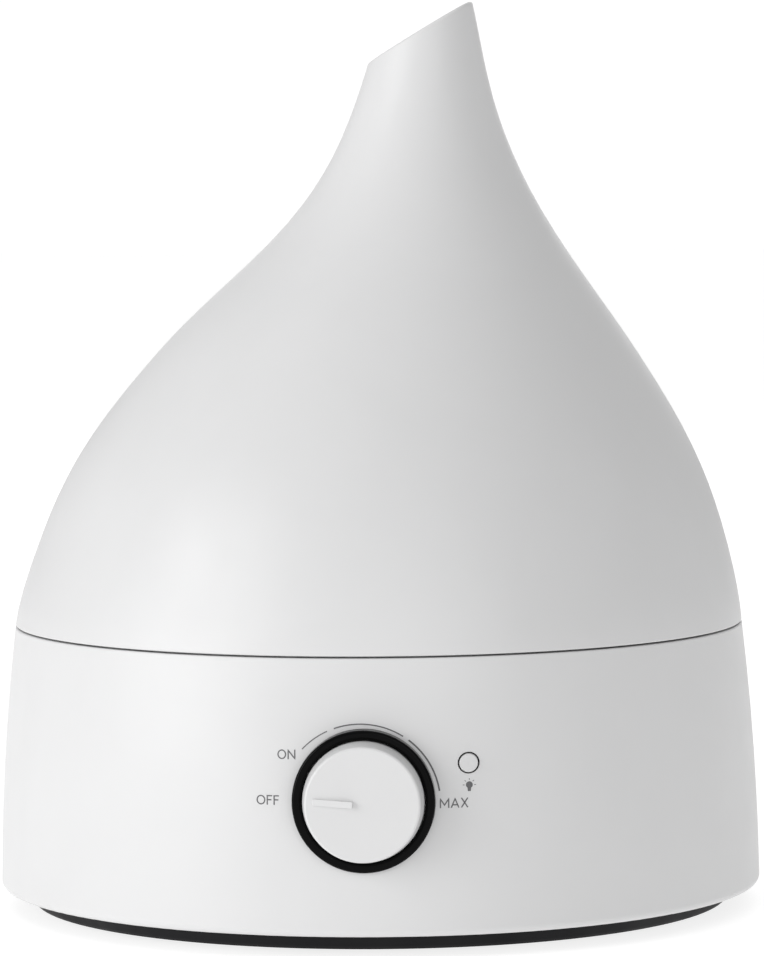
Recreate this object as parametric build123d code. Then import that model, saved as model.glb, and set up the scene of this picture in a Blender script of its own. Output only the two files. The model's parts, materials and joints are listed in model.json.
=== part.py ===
from build123d import *
from math import atan, cos, degrees, radians, sin, sqrt, tan
import os

# Drop-shaped ultrasonic essential oil diffuser, in millimetres.
# Z is up and is the axis of the round base, the feet stand on z = 0, and the control panel faces -Y.
# A water tank in the shape of a leaning drop lifts off a base that holds the basin, the transducer,
# the fan, the electronics and a slide-out oil tray.

# ---- driving dimensions -------------------------------------------------------------------------
WALL = 2.5
FOOT_HEIGHT = 1.4
SHELL_BOTTOM = 6.0
SEAM_HEIGHT = 81.6
SEAM_GAP = 0.5
SHELL_BOTTOM_RADIUS = 110.4
SHELL_MIDDLE_RADIUS = 108.95
SHELL_TOP_RADIUS = 105.5

# Round sections of the tank, from the seam up: height, radius, and how far the drop leans towards +X.
TANK_SECTIONS = [
    (SEAM_HEIGHT, 105.5, 0.0),
    (92.0, 103.6, 0.5),
    (104.0, 100.2, 1.2),
    (120.0, 94.4, 2.1),
    (140.0, 83.8, 3.6),
    (160.0, 69.5, 5.8),
    (180.0, 52.4, 9.1),
    (200.0, 35.9, 12.6),
    (220.0, 24.6, 14.1),
    (240.0, 17.7, 14.9),
    (264.0, 11.8, 15.8),
]
TANK_WALL = 2.4
SPOUT_CUT_ANGLE = 31.0
SPOUT_CUT_X = 13.3
SPOUT_CUT_HEIGHT = 252.3
RIM_FILLET = 0.9

# The tank's floor, its chimney and the fill neck under it.
TANK_FLOOR_LOW = 88.0
TANK_FLOOR_HIGH = 91.0
MIST_X = 14.0
CHIMNEY_RADIUS = 13.2
CHIMNEY_BORE = 11.8
CHIMNEY_TOP = 231.0
COLLAR_THICKNESS = 3.0
JOIN_CLEARANCE = 0.1
SKIRT_BORE = 20.5
SKIRT_RADIUS = 22.3
SKIRT_LOW = 79.0
NECK_X = -46.0
NECK_BORE = 19.0
NECK_RADIUS = 21.0
NECK_LOW = 70.5
JOINT_FLANGE = 2.4

# Fill cap with its bayonet lugs, and the valve that the base pushes open.
CAP_LOW = 67.0
CAP_FLOOR = 69.5
CAP_HIGH = 82.0
CAP_BORE = 23.0
CAP_RADIUS = 25.0
GRIP_COUNT = 30
GRIP_RADIUS = 0.9
LUG_COUNT = 3
LUG_ARC = 26.0
NECK_LUG = (75.0, 77.0, 22.7)
CAP_LUG = (77.3, 79.5, 21.3)
DRAIN_COUNT = 6
DRAIN_RADIUS = 1.7
DRAIN_CIRCLE = 6.0
VALVE_STEM_RADIUS = 1.8
VALVE_STEM_LOW = 65.5
VALVE_STEM_HIGH = 88.0
VALVE_LIFT = 3.0
GASKET_HEIGHT = 0.7
SEAL_RADIUS = 9.0
SEAL_THICKNESS = 2.0
CAGE_RADIUS = 13.0
CAGE_LOW = 84.0
CAGE_HIGH = 86.0
SPRING_RADIUS = 4.6
SPRING_WIRE = 0.45
SPRING_TURNS = 4.5

# Basin that is set into the base.
BASIN_UNDERSIDE = 59.5
BASIN_FLOOR = 62.0
BASIN_BORE = 98.0
BASIN_RADIUS = 100.5
BASIN_TOP = 87.7
FLANGE_RADIUS = 102.8
CHAMBER_BORE = 24.0
CHAMBER_RADIUS = 26.0
CHAMBER_TOP = 84.0
RISER_HALF_WIDTH = 14.0
RISER_FRONT = 26.0
RISER_BACK = 44.0
RISER_WALL = 2.0
VALVE_POST_RADIUS = 2.6
VALVE_POST_TOP = 65.2
FLOAT_X = 62.0
FLOAT_Y = 22.0
FLOAT_RISE = 7.0
LENS_X = 36.0
LENS_Y = -56.0
LENS_RADIUS = 10.0
BOSS_CIRCLE = 88.0
BOSS_ANGLES = (30.0, 150.0, 210.0, 330.0)
BOSS_RADIUS = 4.5
SCREW_RADIUS = 1.45
PILOT_RADIUS = 1.55

# Ultrasonic transducer under the mist chamber.
TRANSDUCER_RADIUS = 12.5
TRANSDUCER_HOLE = 10.5
GASKET_RADIUS = 14.0
TRANSDUCER_BOSS = 18.0
TRANSDUCER_BOSS_LOW = 54.0
RETAINER_LOW = 52.4

# Bottom plate, feet and air inlet.
PLATE_RADIUS = 101.5
PLATE_TOP = 4.0
PLATE_RIM_RADIUS = 107.0
PLATE_RIM_TOP = 9.5
FOOT_RADIUS = 79.0
FOOT_BORE = 71.0
FOOT_ARC = 300.0
FAN_Y = 40.0
FAN_SIDE = 50.0
FAN_HEIGHT = 15.0
FAN_BORE = 23.6
FAN_HUB = 10.5
BLADE_COUNT = 7
BLADE_TIP = 22.7
VENT_RADIUS = 22.0
VENT_WIDTH = 2.8
VENT_PITCH = 5.6

# Control panel on the front.
KNOB_HEIGHT = 43.1
BEZEL_RADIUS = 19.4
BEZEL_BORE = 16.8
BEZEL_BACK = -107.2
BEZEL_FRONT = -111.4
BEZEL_NECK = 17.7
KNOB_SKIRT_RADIUS = 16.5
KNOB_FACE_RADIUS = 15.6
KNOB_BACK = -104.5
KNOB_SHOULDER = -111.4
KNOB_FACE = -118.0
POINTER_ANGLE = 176.0
SHAFT_RADIUS = 3.0
BUTTON_X = 28.3
BUTTON_HEIGHT = 52.9
BUTTON_RADIUS = 2.5
BUTTON_HOLE = 2.95
BUTTON_PROUD = 0.7
BRACKET_FRONT = -92.0
BRACKET_BACK = -90.0
BOARD_FRONT = -81.0
BOARD_THICKNESS = 1.6

# Oil tray at the back, and the low-voltage inlet beside it.
TRAY_HALF_WIDTH = 21.0
TRAY_LOW = 31.4
TRAY_HIGH = 45.0
TRAY_FRONT = 68.5
PANEL_HALF_WIDTH = 22.6
PANEL_LOW = 30.4
PANEL_HIGH = 47.6
PANEL_GAP = 0.4
INLET_ANGLE = 28.0
INLET_HEIGHT = 22.0
INLET_PIN_RADIUS = 1.05
INLET_BORE = 2.9

UP = (Align.CENTER, Align.CENTER, Align.MIN)
CORNER = (Align.MIN, Align.MIN, Align.MIN)


# ---- helpers ------------------------------------------------------------------------------------
def disc(radius, low, high, x=0.0, y=0.0):
    """An upright cylinder between two heights."""
    return Pos(x, y, low) * Cylinder(radius, high - low, align=UP)


def ring(radius, bore, low, high, x=0.0, y=0.0):
    """An upright tube between two heights."""
    return disc(radius, low, high, x, y) - disc(bore, low - 1, high + 1, x, y)


def block(x0, x1, y0, y1, z0, z1):
    """A box between two corners."""
    return Pos(x0, y0, z0) * Box(x1 - x0, y1 - y0, z1 - z0, align=CORNER)


def rod(radius, y0, y1, x=0.0, z=0.0):
    """A cylinder along Y, from y0 back to y1."""
    return Pos(x, y0, z) * Rot(-90, 0, 0) * Cylinder(radius, y1 - y0, align=UP)


def turned(count, start=0.0):
    """The angles of count things spaced evenly round a circle."""
    return [start + 360.0 * i / count for i in range(count)]


def on_circle(radius, angle, x=0.0, y=0.0):
    """The x and y of a point on a circle."""
    return x + radius * cos(radians(angle)), y + radius * sin(radians(angle))


def sector(radius, bore, low, high, centre_angle, arc):
    """A piece of an upright tube that spans arc degrees about centre_angle."""
    wedge = Cylinder(radius, high - low, arc_size=arc, align=(Align.NONE, Align.NONE, Align.MIN))
    return Rot(0, 0, centre_angle - arc / 2) * Pos(0, 0, low) * wedge - disc(bore, low - 1, high + 1)


def shell_band(outset, inset):
    """The base's round wall between two offsets from its outer surface, from its foot to the seam."""
    low, middle, high = SHELL_BOTTOM, (SHELL_BOTTOM + SEAM_HEIGHT) / 2, SEAM_HEIGHT - SEAM_GAP / 2
    outer = [(SHELL_BOTTOM_RADIUS + outset, low), (SHELL_MIDDLE_RADIUS + outset, middle),
             (SHELL_TOP_RADIUS + outset, high)]
    inner = [(r - outset - inset, z) for r, z in reversed(outer)]
    edges = [
        ThreePointArc(*outer),
        Line(outer[2], inner[0]),
        ThreePointArc(*inner),
        Line(inner[2], outer[0]),
    ]
    return revolve(Plane.XZ * make_face(edges), Axis.Z)


def widest_edges(shape, height, radius, reach):
    """The round edges of a shape near one height whose radius is within reach of the one given."""
    near = shape.edges().filter_by(GeomType.CIRCLE)
    return [e for e in near if abs(e.center().Z - height) < 0.3 and abs(e.radius - radius) < reach]


# ---- tank ---------------------------------------------------------------------------------------
def drop(inset, sections=TANK_SECTIONS):
    """The drop as a solid, its surface moved in by inset all over."""
    circles = []
    for i, (height, radius, lean) in enumerate(sections):
        below = sections[max(i - 1, 0)]
        above = sections[min(i + 1, len(sections) - 1)]
        slope = (above[1] - below[1]) / (above[0] - below[0])
        circles.append(Pos(lean, 0, height) * Circle(radius - inset * sqrt(1 + slope * slope)))
    return loft(circles)


def spout_cutter():
    """Everything above the slanted mouth of the spout."""
    return Pos(SPOUT_CUT_X, 0, SPOUT_CUT_HEIGHT) * Rot(0, -SPOUT_CUT_ANGLE, 0) * Box(120, 80, 60, align=UP)


def tank_shell():
    cut = spout_cutter()
    seam = block(-120, 120, -120, 120, SEAM_HEIGHT - 5, SEAM_HEIGHT + SEAM_GAP / 2)
    shell = drop(0) - drop(TANK_WALL) - cut - seam
    mouth = [e for e in shell.edges() if e.center().Z > SPOUT_CUT_HEIGHT - 12 and e.length > 30]
    shell = fillet(mouth, RIM_FILLET)
    foot = [e for e in shell.edges() if abs(e.center().Z - SEAM_HEIGHT - SEAM_GAP / 2) < 0.05
            and e.length > 6.28 * (SHELL_TOP_RADIUS - 1.5)]
    return fillet(foot, 0.4)


def lugs(radius, bore, low, high, turn):
    """The bayonet lugs of the neck or the cap, about the neck's axis."""
    return [Pos(NECK_X, 0, 0) * sector(radius, bore, low, high, a, LUG_ARC) for a in turned(LUG_COUNT, turn)]


def tank_floor():
    """The plate that closes the tank, with holes for the mist pipe and the fill neck, and four ribs."""
    floor = disc(SHELL_TOP_RADIUS, TANK_FLOOR_LOW, TANK_FLOOR_HIGH) & drop(TANK_WALL + JOIN_CLEARANCE)
    for angle in (60, 120, 240, 300):
        x, y = on_circle(62, angle)
        floor += Pos(x, y, TANK_FLOOR_HIGH - 0.5) * Rot(0, 0, angle) * Box(56, 1.6, 4.5, align=UP)
    floor -= disc(NECK_RADIUS + 0.05, TANK_FLOOR_LOW - 1, TANK_FLOOR_HIGH + 1, NECK_X)
    floor -= disc(CHIMNEY_RADIUS + 0.05, TANK_FLOOR_LOW - 1, TANK_FLOOR_HIGH + 1, MIST_X)
    return floor


def neck_tube():
    """The fill neck: a tube welded into the tank's floor, with the bayonet lugs that the cap grips."""
    neck = disc(NECK_RADIUS, NECK_LOW, TANK_FLOOR_HIGH, NECK_X)
    neck += disc(NECK_RADIUS + JOINT_FLANGE, TANK_FLOOR_LOW - 1.4, TANK_FLOOR_LOW, NECK_X)
    low, high, reach = NECK_LUG
    for lug in lugs(reach, NECK_RADIUS - 0.5, low, high, 90):
        neck += lug
    return neck - disc(NECK_BORE, NECK_LOW - 1, TANK_FLOOR_HIGH + 1, NECK_X)


def mist_skirt():
    """The short skirt under the tank's floor that reaches down into the mist chamber."""
    skirt = ring(SKIRT_RADIUS, SKIRT_BORE, SKIRT_LOW, TANK_FLOOR_LOW, MIST_X)
    return skirt + ring(SKIRT_RADIUS + JOINT_FLANGE, SKIRT_BORE, TANK_FLOOR_LOW - 1.4, TANK_FLOOR_LOW, MIST_X)


def mist_chimney():
    """The straight pipe that carries mist through the tank, with the collar that closes it to the spout."""
    slab = disc(40, CHIMNEY_TOP - COLLAR_THICKNESS, CHIMNEY_TOP, MIST_X)
    collar = slab & drop(TANK_WALL + JOIN_CLEARANCE)
    pipe = disc(CHIMNEY_RADIUS, TANK_FLOOR_LOW, CHIMNEY_TOP, MIST_X) + collar
    return pipe - disc(CHIMNEY_BORE, TANK_FLOOR_LOW - 1, CHIMNEY_TOP + 1, MIST_X)


# ---- fill cap and valve -------------------------------------------------------------------------
def fill_cap():
    cap = disc(CAP_RADIUS, CAP_LOW, CAP_HIGH, NECK_X)
    cap = chamfer(widest_edges(cap, CAP_LOW, CAP_RADIUS, 0.1), 1.0)
    for angle in turned(GRIP_COUNT):
        x, y = on_circle(CAP_RADIUS, angle, NECK_X)
        cap += disc(GRIP_RADIUS, CAP_LOW + 1.5, CAP_HIGH - 1.0, x, y)
    cap -= disc(CAP_BORE, CAP_FLOOR, CAP_HIGH + 1, NECK_X)
    low, high, reach = CAP_LUG
    for lug in lugs(CAP_BORE + 0.5, reach, low, high, 90):
        cap += lug
    for angle in turned(DRAIN_COUNT):
        x, y = on_circle(DRAIN_CIRCLE, angle, NECK_X)
        cap -= disc(DRAIN_RADIUS, CAP_LOW - 1, CAP_FLOOR + 1, x, y)
    cap -= disc(VALVE_STEM_RADIUS + 0.3, CAP_LOW - 1, CAP_FLOOR + 1, NECK_X)
    outer, inner = CAGE_RADIUS - 0.3, CAGE_RADIUS - 2.2
    for angle in turned(3, 30):
        cap += Pos(NECK_X, 0, 0) * sector(outer, inner, CAP_FLOOR - 0.5, CAGE_LOW + 1, angle, 24)
    cap += ring(CAGE_RADIUS, VALVE_STEM_RADIUS + 0.3, CAGE_LOW, CAGE_HIGH, NECK_X)
    return cap


def valve_spring():
    low = CAP_FLOOR + VALVE_LIFT + SEAL_THICKNESS + 1.0 + SPRING_WIRE
    height = CAGE_LOW - SPRING_WIRE - low - 0.1
    path = Helix(pitch=height / SPRING_TURNS, height=height, radius=SPRING_RADIUS)
    section = Plane(origin=path @ 0, z_dir=path % 0) * Circle(SPRING_WIRE)
    return Pos(NECK_X, 0, low + 0.05) * sweep(section, path=path, is_frenet=True)


def valve_stem():
    seat = CAP_FLOOR + VALVE_LIFT + SEAL_THICKNESS
    stem = disc(VALVE_STEM_RADIUS, VALVE_STEM_LOW, VALVE_STEM_HIGH, NECK_X)
    return stem + disc(SEAL_RADIUS - 1, seat, seat + 1.0, NECK_X)


# ---- base ---------------------------------------------------------------------------------------
def base_shell():
    shell = shell_band(0, WALL)
    shell = fillet(widest_edges(shell, SHELL_BOTTOM, SHELL_BOTTOM_RADIUS, 0.2), 1.8)
    shell = fillet(widest_edges(shell, SEAM_HEIGHT - SEAM_GAP / 2, SHELL_TOP_RADIUS, 0.2), 0.4)
    shell += ring(104.2, BASIN_RADIUS + 0.3, SEAM_HEIGHT - 5.6, SEAM_HEIGHT - 3.3)
    shell += ring(108.4, 104.0, PLATE_RIM_TOP + 0.2, PLATE_RIM_TOP + 2.2)
    shell -= rod(BEZEL_RADIUS + 0.1, -125, BEZEL_BACK, 0, KNOB_HEIGHT)
    shell -= rod(BEZEL_NECK + 0.1, -125, -90, 0, KNOB_HEIGHT)
    shell -= rod(BUTTON_HOLE, -125, -90, BUTTON_X, BUTTON_HEIGHT)
    half = PANEL_HALF_WIDTH + PANEL_GAP
    shell -= block(-half, half, 90, 125, PANEL_LOW - PANEL_GAP, PANEL_HIGH + PANEL_GAP)
    opening = block(-8.8, 8.8, 95, 125, INLET_HEIGHT - 7.3, INLET_HEIGHT + 7.3)
    return shell - Rot(0, 0, INLET_ANGLE) * opening


def mist_chamber():
    """A water-tight tower on the basin's floor: the round chamber over the transducer and the air riser."""
    duct = RISER_HALF_WIDTH - RISER_WALL
    tower = disc(CHAMBER_RADIUS, BASIN_FLOOR, CHAMBER_TOP, MIST_X)
    tower += block(MIST_X - RISER_HALF_WIDTH, MIST_X + RISER_HALF_WIDTH, 18, RISER_BACK,
                   BASIN_FLOOR, CHAMBER_TOP)
    tower -= disc(CHAMBER_BORE, BASIN_FLOOR - 1, CHAMBER_TOP + 1, MIST_X)
    tower -= block(MIST_X - duct, MIST_X + duct, RISER_FRONT + RISER_WALL, RISER_BACK - RISER_WALL,
                   BASIN_FLOOR - 1, CHAMBER_TOP - RISER_WALL)
    tower -= block(MIST_X - 9, MIST_X + 9, 15, RISER_FRONT + RISER_WALL + 1, 69, 78)
    for angle in (180, 270, 0):
        inlet = block(CHAMBER_BORE - 2, CHAMBER_RADIUS + 2, -6, 6, BASIN_FLOOR - 1, BASIN_FLOOR + 5)
        tower -= Pos(MIST_X, 0, 0) * Rot(0, 0, angle) * inlet
    return tower


def base_deck():
    """The basin: a cup with a seat flange, and two posts on its floor."""
    deck = ring(BASIN_RADIUS, BASIN_BORE, BASIN_UNDERSIDE, BASIN_TOP)
    deck += disc(BASIN_RADIUS, BASIN_UNDERSIDE, BASIN_FLOOR)
    deck += ring(FLANGE_RADIUS, BASIN_BORE, SEAM_HEIGHT - 3.2, SEAM_HEIGHT - 1.0)
    duct = RISER_HALF_WIDTH - RISER_WALL
    deck -= block(MIST_X - duct, MIST_X + duct, RISER_FRONT + RISER_WALL, RISER_BACK - RISER_WALL,
                  BASIN_UNDERSIDE - 1, BASIN_FLOOR + 1)
    deck += disc(VALVE_POST_RADIUS, BASIN_FLOOR, VALVE_POST_TOP, NECK_X)
    deck += disc(3.4, BASIN_FLOOR, BASIN_FLOOR + 18.0, FLOAT_X, FLOAT_Y)
    deck -= disc(TRANSDUCER_HOLE, BASIN_UNDERSIDE - 1, BASIN_FLOOR + 1, MIST_X)
    deck -= disc(LENS_RADIUS + 0.05, BASIN_UNDERSIDE - 1, BASIN_FLOOR + 1, LENS_X, LENS_Y)
    return deck


def screw_pillars():
    """Four pillars that join the basin to the bottom plate; the base's screws cut into them from below."""
    pillars = []
    for angle in BOSS_ANGLES:
        x, y = on_circle(BOSS_CIRCLE, angle)
        pillar = disc(BOSS_RADIUS, PLATE_RIM_TOP + 0.1, BASIN_UNDERSIDE, x, y)
        pillars.append(pillar - disc(PILOT_RADIUS, PLATE_RIM_TOP - 1, 30, x, y))
    return Compound(children=pillars)


def transducer_seat():
    """The ring under the basin that the transducer's gasket sits in, with holes for three screws."""
    seat = ring(TRANSDUCER_BOSS, GASKET_RADIUS, TRANSDUCER_BOSS_LOW, BASIN_UNDERSIDE, MIST_X)
    for angle in turned(3, 90):
        x, y = on_circle(16.0, angle, MIST_X)
        seat -= disc(1.05, TRANSDUCER_BOSS_LOW - 1, BASIN_UNDERSIDE - 1, x, y)
    return seat


def bottom_plate():
    outline = Polyline(
        (0, FOOT_HEIGHT), (PLATE_RADIUS - 0.8, FOOT_HEIGHT), (PLATE_RADIUS, FOOT_HEIGHT + 0.8),
        (PLATE_RADIUS + 3.0, SHELL_BOTTOM + 0.6), (PLATE_RIM_RADIUS, SHELL_BOTTOM + 0.6),
        (PLATE_RIM_RADIUS, PLATE_RIM_TOP), (PLATE_RADIUS + 1.0, PLATE_RIM_TOP),
        (PLATE_RADIUS - 2.2, PLATE_TOP), (0, PLATE_TOP), close=True,
    )
    plate = revolve(Plane.XZ * make_face(outline), Axis.Z)
    for angle in BOSS_ANGLES:
        x, y = on_circle(BOSS_CIRCLE, angle)
        plate += disc(6.0, FOOT_HEIGHT, PLATE_RIM_TOP, x, y)
        plate -= disc(SCREW_RADIUS + 0.3, FOOT_HEIGHT - 1, PLATE_RIM_TOP + 1, x, y)
        plate -= disc(3.4, FOOT_HEIGHT - 1, FOOT_HEIGHT + 4.0, x, y)
    for x, y in board_corners():
        plate += disc(3.2, PLATE_TOP - 0.5, 16.0, x, y)
        plate -= disc(1.05, 8.0, 17.0, x, y)
    vent_field = disc(VENT_RADIUS, FOOT_HEIGHT - 1, PLATE_TOP + 1, MIST_X, FAN_Y)
    for i in range(-3, 4):
        centre = MIST_X + i * VENT_PITCH
        slot = block(centre - VENT_WIDTH / 2, centre + VENT_WIDTH / 2, FAN_Y - 30, FAN_Y + 30, 0, PLATE_TOP + 1)
        plate -= slot & vent_field
    return plate


def board_corners():
    """The four fixing points of the driver board."""
    return [(x, y) for x in (-64.0, -18.0) for y in (-38.0, 34.0)]


def rubber_foot():
    """One strip of rubber round the plate, open at the back so that air can reach the vents."""
    strip = sector(FOOT_RADIUS, FOOT_BORE, 0, FOOT_HEIGHT, 270, FOOT_ARC)
    strip = fillet(strip.edges().filter_by(Axis.Z), 2.5)
    return chamfer([e for e in strip.edges() if abs(e.center().Z) < 0.01], 0.4)


def screw(x, y, head_low, head_radius, head_height, shank_radius, tip):
    """A pan-head screw that points up, with a cross recess in its head."""
    body = disc(head_radius, head_low, head_low + head_height, x, y)
    body += disc(shank_radius, head_low, tip, x, y)
    for angle in (0, 90):
        slot = Pos(x, y, head_low - 0.5) * Rot(0, 0, angle)
        body -= slot * Box(head_radius * 1.1, head_radius * 0.26, 0.5 + head_height * 0.45, align=UP)
    return body


def base_screws():
    points = [on_circle(BOSS_CIRCLE, angle) for angle in BOSS_ANGLES]
    return Compound(children=[screw(x, y, FOOT_HEIGHT + 1.6, 3.0, 2.3, SCREW_RADIUS, 28.0) for x, y in points])


# ---- transducer ---------------------------------------------------------------------------------
def transducer_gasket():
    gasket = ring(GASKET_RADIUS - 0.05, TRANSDUCER_HOLE, TRANSDUCER_BOSS_LOW, BASIN_UNDERSIDE, MIST_X)
    return gasket - disc(TRANSDUCER_RADIUS, 56.6, 58.0, MIST_X)


def transducer_retainer():
    plate = ring(TRANSDUCER_BOSS, 9.0, RETAINER_LOW, TRANSDUCER_BOSS_LOW, MIST_X)
    for angle in turned(3, 90):
        x, y = on_circle(16.0, angle, MIST_X)
        plate -= disc(1.2, RETAINER_LOW - 1, TRANSDUCER_BOSS_LOW + 1, x, y)
    return plate


def retainer_screws():
    points = [on_circle(16.0, angle, MIST_X) for angle in turned(3, 90)]
    return Compound(children=[screw(x, y, RETAINER_LOW - 1.5, 1.9, 1.5, 1.0, 58.0) for x, y in points])


# ---- float, lens and night light ----------------------------------------------------------------
def float_ring():
    body = ring(12.0, 3.8, BASIN_FLOOR + 0.6, BASIN_FLOOR + 9.0, FLOAT_X, FLOAT_Y)
    return fillet(widest_edges(body, BASIN_FLOOR + 9.0, 12.0, 0.1), 1.2)


def float_stop():
    stop = disc(6.5, BASIN_FLOOR + 16.4, BASIN_FLOOR + 19.5, FLOAT_X, FLOAT_Y)
    stop = fillet(widest_edges(stop, BASIN_FLOOR + 19.5, 6.5, 0.1), 1.0)
    return stop - disc(3.42, BASIN_FLOOR + 10, BASIN_FLOOR + 18.02, FLOAT_X, FLOAT_Y)


def light_lens():
    lens = disc(LENS_RADIUS, BASIN_UNDERSIDE, BASIN_FLOOR + 1.5, LENS_X, LENS_Y)
    lens = fillet(widest_edges(lens, BASIN_FLOOR + 1.5, LENS_RADIUS, 0.1), 1.2)
    return lens + disc(LENS_RADIUS + 2, BASIN_UNDERSIDE - 1.5, BASIN_UNDERSIDE, LENS_X, LENS_Y)


def light_board():
    board = disc(13.0, 50.0, 50.0 + BOARD_THICKNESS, LENS_X, LENS_Y)
    for angle in turned(3, 30):
        x, y = on_circle(10.8, angle, LENS_X, LENS_Y)
        board += disc(1.5, 50.5, BASIN_UNDERSIDE - 1.5, x, y)
    return board


def light_emitters():
    points = [on_circle(4.5, angle, LENS_X, LENS_Y) for angle in turned(3, 90)]
    chips = [Pos(x, y, 50.0 + BOARD_THICKNESS) * Box(3.5, 2.8, 1.6, align=UP) for x, y in points]
    return Compound(children=chips)


# ---- fan ----------------------------------------------------------------------------------------
def fan_housing():
    half, low, high = FAN_SIDE / 2, PLATE_TOP, PLATE_TOP + FAN_HEIGHT
    frame = Pos(MIST_X, FAN_Y, low) * Box(FAN_SIDE, FAN_SIDE, FAN_HEIGHT, align=UP)
    frame = fillet(frame.edges().filter_by(Axis.Z), 3.0)
    frame -= disc(FAN_BORE, low - 1, high + 1, MIST_X, FAN_Y)
    hole = half - 5.0
    for sx in (-1, 1):
        for sy in (-1, 1):
            frame -= disc(2.1, low - 1, high + 1, MIST_X + sx * hole, FAN_Y + sy * hole)
    spokes = disc(FAN_HUB, low, low + 2.0, MIST_X, FAN_Y)
    for angle in turned(3, 15):
        spokes += Pos(MIST_X, FAN_Y, low) * Rot(0, 0, angle) * Pos(14, 0, 0) * Box(22, 2.4, 2.0, align=UP)
    return frame + spokes


def fan_blade():
    """One pitched blade, from inside the hub to the tip, along +X from the fan's axis."""
    sections = []
    for radius, chord, pitch in ((FAN_HUB - 1.5, 9.5, 46), (BLADE_TIP, 12.0, 30)):
        plane = Plane(origin=(radius, 0, 0), x_dir=(0, 1, 0), z_dir=(1, 0, 0))
        sections.append(plane * Rot(0, 0, pitch) * Rectangle(chord, 1.1))
    return loft(sections)


def fan_rotor():
    low, high = PLATE_TOP + 2.6, PLATE_TOP + FAN_HEIGHT - 1.2
    rotor = disc(FAN_HUB, low, high, MIST_X, FAN_Y)
    rotor = fillet(widest_edges(rotor, high, FAN_HUB, 0.1), 1.0)
    for angle in turned(BLADE_COUNT):
        rotor += Pos(MIST_X, FAN_Y, (low + high) / 2) * Rot(0, 0, angle) * fan_blade()
    return rotor


def air_duct():
    """Carries the fan's air up to the riser in the basin."""
    low, high = PLATE_TOP + FAN_HEIGHT, BASIN_UNDERSIDE
    top_y = (RISER_FRONT + RISER_BACK) / 2

    def funnel(base, top_x, top_depth, z0, z1):
        return loft([
            Pos(MIST_X, FAN_Y, z0) * RectangleRounded(base, base, 3.0),
            Pos(MIST_X, top_y, z1) * RectangleRounded(top_x, top_depth, 1.0),
        ])

    inner_width = 2 * (RISER_HALF_WIDTH - RISER_WALL)
    inner_depth = RISER_BACK - RISER_FRONT - 2 * RISER_WALL
    duct = funnel(FAN_SIDE - 0.5, inner_width + 3.2, inner_depth + 3.2, low, high)
    return duct - funnel(FAN_SIDE - 4.0, inner_width, inner_depth, low, high)


# ---- driver board -------------------------------------------------------------------------------
def driver_board():
    board = block(-68, -14, -42, 38, 16.0, 16.0 + BOARD_THICKNESS)
    board = fillet(board.edges().filter_by(Axis.Z), 2.0)
    for x, y in board_corners():
        board -= disc(1.6, 15, 20, x, y)
    return board


def board_screws():
    top = 16.0 + BOARD_THICKNESS
    screws = []
    for x, y in board_corners():
        head = disc(2.6, top, top + 1.8, x, y) + disc(1.0, 9.0, top + 0.5, x, y)
        for angle in (0, 90):
            head -= Pos(x, y, top + 0.9) * Rot(0, 0, angle) * Box(3.0, 0.7, 2.0, align=UP)
        screws.append(head)
    return Compound(children=screws)


def heat_sink():
    low = 16.0 + BOARD_THICKNESS
    sink = block(-62, -58.5, -30, 0, low, low + 24)
    for i in range(6):
        y = -30 + i * 5.7
        sink += block(-58.6, -48, y, y + 1.5, low, low + 24)
    return sink


def power_transistor():
    low = 16.0 + BOARD_THICKNESS
    body = block(-66.6, -62.05, -20, -10, low + 4, low + 19)
    for i in range(3):
        y = -17.9 + 2.54 * i
        body += block(-64.6, -64.0, y, y + 0.8, low, low + 4.5)
    return body


def board_capacitors():
    low = 16.0 + BOARD_THICKNESS
    sizes = ((-30, 22, 6.3, 18), (-45, 24, 5.0, 14), (-26, -10, 4.0, 11))
    cans = [disc(r, low, low + h, x, y) for x, y, r, h in sizes]
    return Compound(children=[fillet(widest_edges(c, c.bounding_box().max.Z, r[2], 0.1), 0.8)
                              for c, r in zip(cans, sizes)])


def board_coil():
    low = 16.0 + BOARD_THICKNESS
    coil = disc(7.5, low, low + 2, -38, 4) + disc(7.5, low + 9, low + 11, -38, 4)
    return coil + disc(6.2, low + 1, low + 10, -38, 4)


def board_connectors():
    low = 16.0 + BOARD_THICKNESS
    sockets = []
    for x, y, width in ((-20, -26, 10), (-36, -34, 12.5), (-29, 33, 7.5), (-48, 34, 8)):
        body = Pos(x, y, low) * Box(width, 5.8, 7.0, align=UP)
        sockets.append(body - Pos(x, y, low + 1.5) * Box(width - 1.6, 4.2, 7.0, align=UP))
    return Compound(children=sockets)


def internal_leads():
    """Pairs of insulated wires from the board's sockets to what it drives and to the inlet."""
    start = 16.0 + BOARD_THICKNESS + 2.2
    inlet_x, inlet_y = on_circle(87.2, 90 + INLET_ANGLE)
    routes = [
        [(-20, -26, start), (-20, -26, 36), (MIST_X, -2, 40), (MIST_X, -2, 56.2)],
        [(-38, -34, start), (-38, -34, 36), (-12, -62, 38), (-12, BOARD_FRONT + BOARD_THICKNESS + 0.2, 34)],
        [(-33.5, -34, start), (-33.5, -34, 40), (LENS_X - 5, LENS_Y, 38), (LENS_X - 5, LENS_Y, 49.7)],
        [(-29, 33, start), (-29, 33, 34), (MIST_X - 27.2, FAN_Y + 10, 30), (MIST_X - 27.2, FAN_Y + 10, 8)],
        [(-48, 34, start), (-48, 34, 34), (-44, 62, 30), (inlet_x, inlet_y, INLET_HEIGHT)],
    ]
    wires = []
    for route in routes:
        for side in (-1.1, 1.1):
            path = FilletPolyline(*[(x + side, y, z) for x, y, z in route], radius=4)
            wires.append(sweep(Plane(origin=path @ 0, z_dir=path % 0) * Circle(0.65), path=path))
    return Compound(children=wires)


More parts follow.
